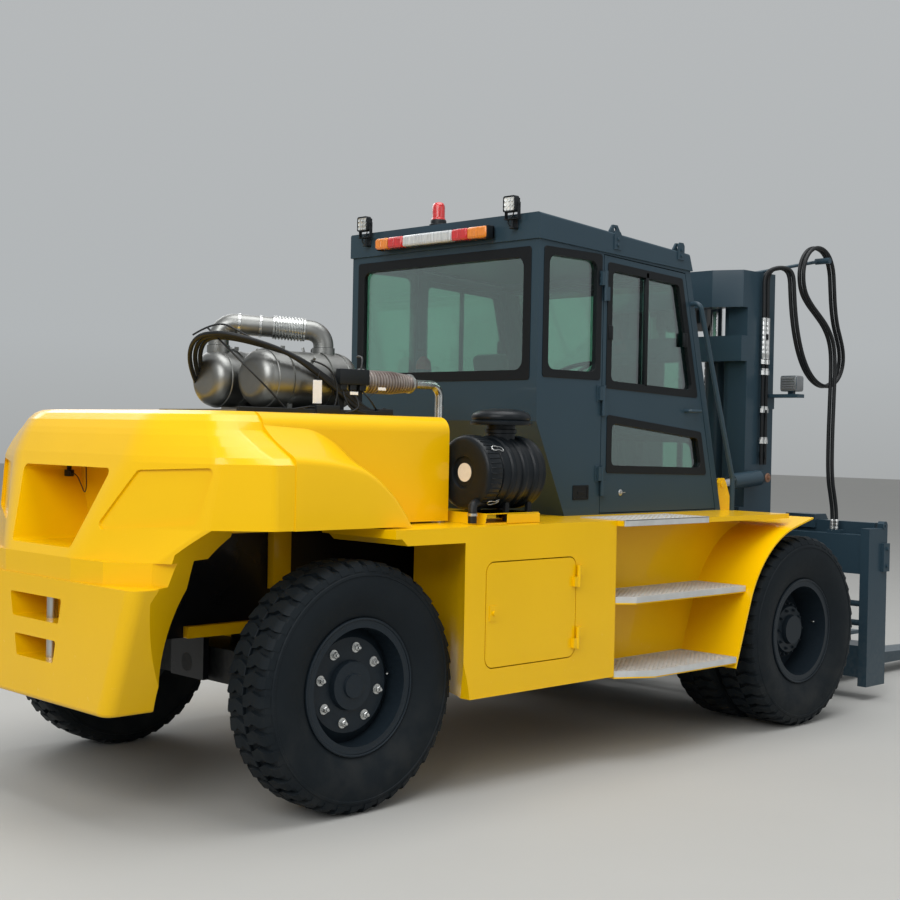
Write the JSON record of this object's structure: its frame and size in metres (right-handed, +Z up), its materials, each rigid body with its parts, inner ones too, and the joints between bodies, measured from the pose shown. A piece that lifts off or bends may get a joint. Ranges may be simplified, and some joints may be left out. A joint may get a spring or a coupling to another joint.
{
  "type": "counterbalance container handling forklift",
  "caption": "Heavy counterbalance forklift with a two stage mast, wide fork carriage, cab with doors and steered rear wheels.",
  "frame": {"origin": "on the ground under the middle of the overall box, fork tips to counterweight", "axes": "+X forwards to the fork tips, +Y to the driver's left, +Z up"},
  "size_m": [8.656, 2.82, 3.3179],
  "materials": {
    "yellow_paint": "gloss",
    "grey_paint": "satin",
    "black_paint": "satin",
    "tyre_rubber": "matte",
    "hose_rubber": "satin",
    "bright_steel": "satin",
    "chrome_rod": "gloss",
    "exhaust_steel": "satin",
    "tread_plate": "satin",
    "window_glass": "gloss",
    "black_plastic": "matte",
    "seat_cloth": "matte",
    "lamp_lens": "gloss",
    "chain_steel": "satin",
    "engine_paint": "satin"
  },
  "bodies": {
    "chassis": {"frame": "yellow_paint", "counterweight": "yellow_paint", "tow_pin": "bright_steel", "hood": "yellow_paint", "engine": "engine_paint", "deck": "yellow_paint", "side_box_right": "yellow_paint", "side_box_left": "yellow_paint", "fender_right": "yellow_paint", "fender_left": "yellow_paint", "step_treads": "tread_plate", "steer_axle": "black_paint", "drive_axle": "black_paint", "cab_shell": "grey_paint", "cab_roof": "grey_paint", "cab_glass": "window_glass", "seat": "seat_cloth", "dashboard": "black_plastic", "aftertreatment": "exhaust_steel", "exhaust_pipes": "exhaust_steel", "air_cleaner": "black_plastic", "work_lamps": "black_plastic", "roof_lights": "lamp_lens", "handrails": "grey_paint"},
    "knuckle_right": {"knuckle_right": "black_paint"},
    "knuckle_left": {"knuckle_left": "black_paint"},
    "steer_wheel_right": {"steer_tyre_right": "tyre_rubber", "steer_rim_right": "grey_paint"},
    "steer_wheel_left": {"steer_tyre_left": "tyre_rubber", "steer_rim_left": "grey_paint"},
    "drive_wheels_right": {"drive_tyres_right": "tyre_rubber", "drive_rims_right": "grey_paint"},
    "drive_wheels_left": {"drive_tyres_left": "tyre_rubber", "drive_rims_left": "grey_paint"},
    "box_door_right": {"box_door_right": "yellow_paint"},
    "box_door_left": {"box_door_left": "yellow_paint"},
    "cab_door_right": {"cab_door_right": "grey_paint", "door_glass_right": "window_glass"},
    "cab_door_left": {"cab_door_left": "grey_paint", "door_glass_left": "window_glass"},
    "outer_mast": {"outer_mast": "grey_paint", "lift_barrels": "grey_paint", "mast_pipes": "bright_steel", "headlamps": "grey_paint", "chains_rear": "chain_steel", "hose_a": "hose_rubber", "hose_b": "hose_rubber"},
    "inner_mast": {"inner_mast": "grey_paint", "chain_wheels": "chain_steel", "lift_rods": "chrome_rod", "hose_arm": "grey_paint", "chains_front": "chain_steel"},
    "carriage": {"carriage": "grey_paint", "carriage_plates": "grey_paint"},
    "fork_right": {"fork_right": "grey_paint"},
    "fork_left": {"fork_left": "grey_paint"},
    "tilt_barrel_right": {"tilt_barrel_right": "grey_paint"},
    "tilt_barrel_left": {"tilt_barrel_left": "grey_paint"},
    "tilt_rod_right": {"tilt_rod_right": "chrome_rod"},
    "tilt_rod_left": {"tilt_rod_left": "chrome_rod"}
  },
  "joints": [
    {"name": "steer_right", "type": "hinge", "parent": "chassis", "child": "knuckle_right", "pos_m": [-3.218, -0.8, 0.62], "axis": [0, 0, 1], "range_deg": [-55, 55]},
    {"name": "steer_wheel_spin_right", "type": "hinge", "parent": "knuckle_right", "child": "steer_wheel_right", "pos_m": [-3.218, -1.045, 0.62], "axis": [0, 1, 0], "continuous": true},
    {"name": "drive_wheels_spin_right", "type": "hinge", "parent": "chassis", "child": "drive_wheels_right", "pos_m": [0.436, -1.063, 0.62], "axis": [0, 1, 0], "continuous": true},
    {"name": "box_door_right", "type": "hinge", "parent": "chassis", "child": "box_door_right", "pos_m": [-1.749, -1.301, 0.925], "axis": [0, 0, 1], "range_deg": [0, 105]},
    {"name": "cab_door_right", "type": "hinge", "parent": "chassis", "child": "cab_door_right", "pos_m": [-1.016, -0.846, 2.1], "axis": [0, 0, -1], "range_deg": [0, 85]},
    {"name": "steer_left", "type": "hinge", "parent": "chassis", "child": "knuckle_left", "pos_m": [-3.218, 0.8, 0.62], "axis": [0, 0, 1], "range_deg": [-55, 55]},
    {"name": "steer_wheel_spin_left", "type": "hinge", "parent": "knuckle_left", "child": "steer_wheel_left", "pos_m": [-3.218, 1.045, 0.62], "axis": [0, 1, 0], "continuous": true},
    {"name": "drive_wheels_spin_left", "type": "hinge", "parent": "chassis", "child": "drive_wheels_left", "pos_m": [0.436, 1.063, 0.62], "axis": [0, 1, 0], "continuous": true},
    {"name": "box_door_left", "type": "hinge", "parent": "chassis", "child": "box_door_left", "pos_m": [-1.749, 1.301, 0.925], "axis": [0, 0, -1], "range_deg": [0, 105]},
    {"name": "cab_door_left", "type": "hinge", "parent": "chassis", "child": "cab_door_left", "pos_m": [-1.016, 0.846, 2.1], "axis": [0, 0, 1], "range_deg": [0, 85]},
    {"name": "mast_tilt", "type": "hinge", "parent": "chassis", "child": "outer_mast", "pos_m": [0.682, 0, 0.5], "axis": [0, 1, 0], "range_deg": [-6, 6]},
    {"name": "mast_lift", "type": "slide", "parent": "outer_mast", "child": "inner_mast", "axis": [0, 0, 1], "range_m": [0, 1.5], "deforming": ["chains_rear", "hose_a", "hose_b"]},
    {"name": "carriage_lift", "type": "slide", "parent": "inner_mast", "child": "carriage", "axis": [0, 0, 1], "range_m": [0, 1.5], "deforming": ["chains_front"]},
    {"name": "fork_shift_right", "type": "slide", "parent": "carriage", "child": "fork_right", "axis": [0, -1, 0], "range_m": [-0.35, 0.43]},
    {"name": "fork_shift_left", "type": "slide", "parent": "carriage", "child": "fork_left", "axis": [0, 1, 0], "range_m": [-0.35, 0.43]},
    {"name": "tilt_cylinder_swing_right", "type": "hinge", "parent": "outer_mast", "child": "tilt_barrel_right", "pos_m": [0.882, -0.73, 1.6], "axis": [0, 1, 0], "range_deg": [-3.13, 3.13]},
    {"name": "tilt_rod_slide_right", "type": "slide", "parent": "tilt_barrel_right", "child": "tilt_rod_right", "axis": [-0.9973, 0, -0.0731], "range_m": [-0.1153, 0.1153]},
    {"name": "tilt_cylinder_swing_left", "type": "hinge", "parent": "outer_mast", "child": "tilt_barrel_left", "pos_m": [0.882, 0.73, 1.6], "axis": [0, 1, 0], "range_deg": [-3.13, 3.13]},
    {"name": "tilt_rod_slide_left", "type": "slide", "parent": "tilt_barrel_left", "child": "tilt_rod_left", "axis": [-0.9973, 0, -0.0731], "range_m": [-0.1153, 0.1153]}
  ],
  "couplings": [
    {"joint": "steer_left", "follows": "steer_right", "ratio": 1},
    {"joint": "carriage_lift", "follows": "mast_lift", "ratio": 1},
    {"joint": "tilt_cylinder_swing_right", "follows": "mast_tilt", "ratio": -0.48854},
    {"joint": "tilt_rod_slide_right", "follows": "mast_tilt", "m_per_rad": 1.0821},
    {"joint": "tilt_cylinder_swing_left", "follows": "mast_tilt", "ratio": -0.48854},
    {"joint": "tilt_rod_slide_left", "follows": "mast_tilt", "m_per_rad": 1.0821}
  ]
}
